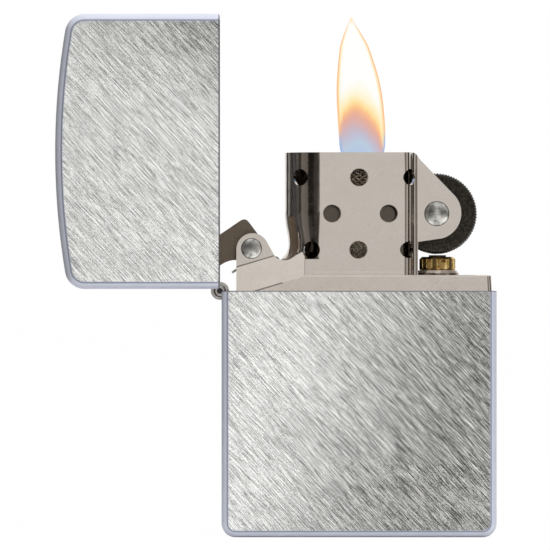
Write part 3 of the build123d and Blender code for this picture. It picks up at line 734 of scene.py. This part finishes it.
# ---------------------------------------------------------------- flame
# (height above the base, left edge, right edge), in millimetres, from the wick to the tip.
# The flame's other sizes and heights are in millimetres too.
FLAME_OUTLINE = [
    (51.2, -1.4, 2.5),
    (53.3, -2.6, 3.6),
    (55.0, -2.72, 3.72),
    (57.2, -2.85, 3.66),
    (59.4, -3.0, 3.5),
    (61.6, -3.1, 3.22),
    (63.8, -3.02, 2.78),
    (66.0, -2.85, 2.1),
    (68.3, -2.58, 1.3),
    (70.6, -2.0, 0.1),
    (72.0, -1.4, -0.7),
]
FLAME_HEART_X = -0.35  # where the coloured arches are highest
FLAME_ARCH_SPREAD = 0.32  # how fast they fall away to the sides
FLAME_LOW, FLAME_TIP = 52.0, 72.35
FLAME_DEPTH = 0.82  # front to back, as a share of the width
FLAME_SMOOTHING = (-0.9, -0.45, 0, 0.45, 0.9)  # heights that a section is averaged over


def flame_section(z, inset):
    """Centre and half-width of the flame at one height, drawn in by an inset."""
    heights, lefts, rights = zip(*FLAME_OUTLINE)
    left = np.interp(z, heights, lefts)
    right = np.interp(z, heights, rights)
    half = max((right - left) / 2 - inset, 0.02)
    return (left + right) / 2, half


def flame_shell(name, material, base, tip, inset, taper_from):
    """One closed skin of the flame, from base to tip; it closes in a rounded point.
    """
    rings, around = 64, 48
    points = []
    for i in range(rings):
        z = base + (tip - base) * (i / (rings - 1)) ** 0.92
        smooth = [flame_section(z + d, inset) for d in FLAME_SMOOTHING]
        centre = sum(c for c, _ in smooth) / len(smooth)
        half = sum(h for _, h in smooth) / len(smooth)
        if z > taper_from:
            share = min((z - taper_from) / (tip - taper_from), 1)
            half *= math.sqrt(max(1 - share**2, 0.0004))
        for k in range(around):
            a = TAU * k / around
            x = centre * MM + half * MM * math.cos(a)
            points.append((x, half * MM * FLAME_DEPTH * math.sin(a), z * MM))
    faces = ring_faces(rings, around)
    faces.append(tuple(reversed(range(around))))
    faces.append(tuple((rings - 1) * around + k for k in range(around)))
    piece = mesh_piece(name, points, faces, material, "insert")
    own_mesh(piece)


def glow(s, colour, opacity):
    """Light with no surface."""
    s.set(
        Base_Color=(0, 0, 0),
        Roughness=1.0,
        Specular_IOR_Level=0.0,
        Emission_Color=colour,
        Emission_Strength=1.0,
        Alpha=opacity,
    )
    return s.material


def flame_body_look():
    """Blue at the foot, then lavender, orange and yellow arches, and white above them."""
    s = Shader("flame_body_look")
    parts = s.add("ShaderNodeSeparateXYZ")
    s.link(s.position, parts.inputs[0])
    aside = s.math("SUBTRACT", parts.outputs["X"], FLAME_HEART_X)
    droop = s.math("MULTIPLY", s.math("MULTIPLY", aside, aside), FLAME_ARCH_SPREAD)
    arch = s.math("ADD", parts.outputs["Z"], droop)
    flicker = s.noise(s.scaled(s.position, (0.5, 0.5, 0.25)), detail=2)
    arch = s.math("ADD", arch, s.remap(flicker, 0.3, 0.7, -0.35, 0.35))
    span = FLAME_TIP - FLAME_LOW
    stops = [
        (52.0, (176, 198, 228)),
        (54.6, (188, 204, 223)),
        (55.8, (194, 192, 210)),
        (57.0, (208, 182, 188)),
        (58.2, (230, 176, 158)),
        (59.1, (252, 192, 142)),
        (60.0, (255, 224, 160)),
        (61.1, (255, 242, 200)),
        (62.3, (255, 251, 232)),
        (63.6, (255, 255, 254)),
        (71.4, (255, 255, 252)),
        (72.3, (255, 228, 168)),
    ]
    level = s.remap(arch, FLAME_LOW, FLAME_TIP, kind="LINEAR")
    inner = s.ramp(level, [((z - FLAME_LOW) / span, srgb(*colour)) for z, colour in stops])
    turned_away = s.remap(s.normal_along("Y"), 0.34, 0.72, 1.0, 0.0)
    above_blue = s.remap(arch, 57.6, 59.4)
    skin = s.math("MULTIPLY", s.math("MULTIPLY", turned_away, above_blue), 0.75)
    return glow(s, s.mix(skin, inner, srgb(255, 240, 186)), 1.0)


def flame_edge_look():
    """The flame's thin orange outline, blue beside the foot."""
    s = Shader("flame_edge_look")
    height = s.remap(s.along(s.position, (0, 0, 1)), FLAME_LOW, FLAME_TIP, kind="LINEAR")
    orange = srgb(252, 192, 132)
    stops = [(0.0, srgb(140, 176, 230)), (0.15, srgb(166, 184, 222)), (0.22, orange), (1.0, orange)]
    turned_away = s.remap(s.normal_along("Y"), 0.25, 0.66, 0.85, 0.0)
    return glow(s, s.ramp(height, stops), turned_away)


def flame():
    """A coloured body inside a thin outline, both closed skins."""
    base = FLAME_OUTLINE[0][0]
    flame_shell("flame_edge", flame_edge_look(), base, FLAME_TIP, inset=0.0, taper_from=68.0)
    flame_shell("flame_body", flame_body_look(), base, FLAME_TIP - 0.2, inset=0.14, taper_from=67.5)


# ---------------------------------------------------------------- camera, lights and floor
FLOOR_WHITENESS = 0.975
VIEW_WIDTH = 76.06 * MM
VIEW_DISTANCE = 1000 * MM
VIEW_CENTRE = Vector((-11.65 * MM, CASE_LOW.y, 36.3 * MM))
FLOOR_REACH = 6.0
LIT_POINT = (-0.01, 0, 0.035)


def camera():
    """Square on to the front, about a metre away."""
    data = bpy.data.cameras.new("camera")
    data.sensor_width = 36
    data.lens = data.sensor_width * VIEW_DISTANCE / VIEW_WIDTH
    data.clip_start = 0.01
    data.clip_end = 20
    holder = bpy.data.objects.new("camera", data)
    holder.location = VIEW_CENTRE - Vector((0, VIEW_DISTANCE, 0))
    holder.rotation_euler = (math.pi / 2, 0, 0)
    bpy.context.scene.collection.objects.link(holder)
    bpy.context.scene.camera = holder


# (azimuth in degrees from the front, positive to the wheel side, brightness)
STUDIO_WALLS = [
    (-180, 1.0),
    (-150, 0.95),
    (-142, 0.06),
    (-129, 0.05),
    (-124, 0.50),
    (-115, 0.46),
    (-110, 0.06),
    (-97, 0.06),
    (-93, 0.42),
    (-79, 0.36),
    (-75, 0.05),
    (-67, 0.05),
    (-63, 0.22),
    (-42, 0.16),
    (-38, 0.015),
    (-22, 0.015),
    (-19, 0.05),
    (-6, 0.06),
    (-3, 0.80),
    (9, 0.76),
    (12, 0.24),
    (40, 0.24),
    (45, 0.70),
    (62, 0.70),
    (68, 0.06),
    (104, 0.08),
    (116, 0.85),
    (180, 1.0),
]


def walls_ramp(tree, x, toward):
    """The light of the studio's walls in one level direction."""
    azimuth = tree.nodes.new("ShaderNodeMath")
    azimuth.operation = "ARCTAN2"
    tree.links.new(x, azimuth.inputs[0])
    tree.links.new(toward, azimuth.inputs[1])
    share = tree.nodes.new("ShaderNodeMapRange")
    share.inputs["From Min"].default_value = -math.pi
    share.inputs["From Max"].default_value = math.pi
    tree.links.new(azimuth.outputs[0], share.inputs["Value"])
    walls = tree.nodes.new("ShaderNodeValToRGB")
    elements = walls.color_ramp.elements
    while len(elements) < len(STUDIO_WALLS):
        elements.new(0.5)
    for element, (angle, light) in zip(elements, STUDIO_WALLS):
        element.position = (angle + 180) / 360
        warmth = 0.16 if light < 0.5 else 0.0
        element.color = (light, light * (1 - warmth / 2), light * (1 - warmth), 1)
    tree.links.new(share.outputs[0], walls.inputs["Fac"])
    return walls.outputs["Color"]


def studio_world():
    """A white tent with dark gaps between its panels on the camera's side."""
    world = bpy.data.worlds.new("studio")
    bpy.context.scene.world = world
    world.use_nodes = True
    tree = world.node_tree
    tree.nodes.clear()
    output = tree.nodes.new("ShaderNodeOutputWorld")
    seen = tree.nodes.new("ShaderNodeBackground")
    seen.inputs["Color"].default_value = (1, 1, 1, 1)
    lit = tree.nodes.new("ShaderNodeBackground")
    coords = tree.nodes.new("ShaderNodeTexCoord")
    parts = tree.nodes.new("ShaderNodeSeparateXYZ")
    tree.links.new(coords.outputs["Generated"], parts.inputs[0])
    toward = tree.nodes.new("ShaderNodeMath")
    toward.operation = "MULTIPLY"
    toward.inputs[1].default_value = -1
    tree.links.new(parts.outputs["Y"], toward.inputs[0])
    walls = walls_ramp(tree, parts.outputs["X"], toward.outputs[0])
    height = tree.nodes.new("ShaderNodeMapRange")
    height.inputs["From Min"].default_value = 0.42
    height.inputs["From Max"].default_value = 0.7
    tree.links.new(parts.outputs["Z"], height.inputs["Value"])
    ceiling = tree.nodes.new("ShaderNodeMix")
    ceiling.data_type = "RGBA"
    ceiling.inputs["B"].default_value = (1, 1, 1, 1)
    tree.links.new(height.outputs[0], ceiling.inputs["Factor"])
    tree.links.new(walls, ceiling.inputs["A"])
    tree.links.new(ceiling.outputs["Result"], lit.inputs["Color"])
    rays = tree.nodes.new("ShaderNodeLightPath")
    choice = tree.nodes.new("ShaderNodeMixShader")
    tree.links.new(rays.outputs["Is Camera Ray"], choice.inputs["Fac"])
    tree.links.new(lit.outputs[0], choice.inputs[1])
    tree.links.new(seen.outputs[0], choice.inputs[2])
    tree.links.new(choice.outputs[0], output.inputs["Surface"])


def area_light(name, place, size, power):
    """A square soft light aimed at the object; it lights surfaces, but shiny ones don't mirror it."""
    data = bpy.data.lights.new(name, "AREA")
    data.size = size
    data.energy = power
    holder = bpy.data.objects.new(name, data)
    holder.location = place
    holder.rotation_euler = (Vector(LIT_POINT) - Vector(place)).to_track_quat("-Z", "Y").to_euler()
    holder.visible_glossy = False
    bpy.context.scene.collection.objects.link(holder)


def stage():
    """A wide pale floor that runs into the white of the studio; from about 70 mm out, the colour that
    lights the object carries a painted shade, darker under the studio's dark gaps.
    """
    s = Shader("floor_look")
    parts = s.add("ShaderNodeSeparateXYZ")
    s.link(s.position, parts.inputs[0])
    toward = s.math("MULTIPLY", parts.outputs["Y"], -1)
    away = s.add("ShaderNodeVectorMath", operation="LENGTH")
    s.link(s.position, away.inputs[0])
    far = s.remap(away.outputs["Value"], 70, 130)
    # painted shade: the floor's far colour, which only lights the object, follows the studio's dark gaps
    panels = walls_ramp(s.tree, parts.outputs["X"], toward)
    s.set(Base_Color=s.mix(far, (0.72, 0.72, 0.72), panels), Roughness=0.8)
    seen = s.add("ShaderNodeEmission")
    seen.inputs["Color"].default_value = (1, 1, 1, 1)
    rays = s.add("ShaderNodeLightPath")
    choice = s.add("ShaderNodeMixShader")
    s.feed(s.math("MULTIPLY", rays.outputs["Is Camera Ray"], FLOOR_WHITENESS), choice.inputs["Fac"])
    s.link(s.surface.outputs["BSDF"], choice.inputs[1])
    s.link(seen.outputs["Emission"], choice.inputs[2])
    s.link(choice.outputs["Shader"], s.output.inputs["Surface"])
    mesh = bpy.data.meshes.new("floor")
    corners = [(x * FLOOR_REACH, y * FLOOR_REACH, 0) for x, y in ((-1, -1), (1, -1), (1, 1), (-1, 1))]
    mesh.from_pydata(corners, [], [(0, 1, 2, 3)])
    mesh.materials.append(s.material)
    floor = bpy.data.objects.new("floor", mesh)
    bpy.context.scene.collection.objects.link(floor)


def lights():
    """A main light high in front and to the right, and a weak one overhead."""
    area_light("key", (0.10, -0.32, 0.34), size=0.16, power=2.6)
    area_light("top", (0.02, 0.05, 0.45), size=0.3, power=0.6)


# ---------------------------------------------------------------- putting it together
def dress_metals():
    """Gives every metal piece its material."""
    # the case's and the lid's broad faces get painted shade along these directions
    case_plate = brushed_plate(
        "case_plate_look",
        shade_direction=(0.85, 0, -0.3),
        shade_from=-21.0,
        shade_to=7.5,
        rim_direction=(0, 0, 1),
        rim_at=CASE_HIGH.z / MM,
    )
    lid_plate = brushed_plate(
        "lid_plate_look",
        shade_direction=(0.45, 0, 1.0),
        shade_from=45.0,
        shade_to=68.5,
        rim_direction=(1, 0, 0),
        rim_at=LID_RIM_X / MM,
    )
    nickel = bright_nickel("nickel_look")
    # the chimney's inner faces get painted shade
    inside_shaded_nickel = bright_nickel("chimney_look", inside_shade=0.9)
    wheel_rivet = rivet_steel("wheel_rivet_look", "wheel_rivet")
    cam_rivet = rivet_steel("cam_rivet_look", "cam_rivet")
    hinge = hinge_steel("hinge_look")
    light, dark = srgb(200, 198, 194), srgb(140, 136, 130)
    spring = scuffed_steel("spring_look", light, dark, roughness=0.25, blotch=0.7)
    light, dark = srgb(206, 194, 182), srgb(146, 134, 122)
    seat = scuffed_steel("seat_look", light, dark, roughness=0.28, blotch=0.8)
    paint(case_plate, "case_shell")
    paint(lid_plate, "lid_shell")
    paint(nickel, "insert_shell")
    paint(inside_shaded_nickel, "chimney")
    paint(wheel_rivet, "wheel_rivet")
    paint(cam_rivet, "cam_rivet")
    paint(hinge, "case_hinge_leaf", "lid_hinge_leaf", "hinge_pin")
    paint(spring, "cam_spring", "cam_spring_rivet")
    flint_spring(spring)
    paint(seat, "flint_tube_seat", "flint_screw")
    paint(sintered_metal("cam_look"), "cam")
    paint(drawn_brass("brass_look"), "flint_tube", "spring_tip")
    paint(flint_alloy("flint_look"), "flint")


bpy.context.scene.view_settings.view_transform = "Standard"
camera()
studio_world()
lights()
stage()
dress_metals()
striker_wheel()
wick()
packing()
flame()
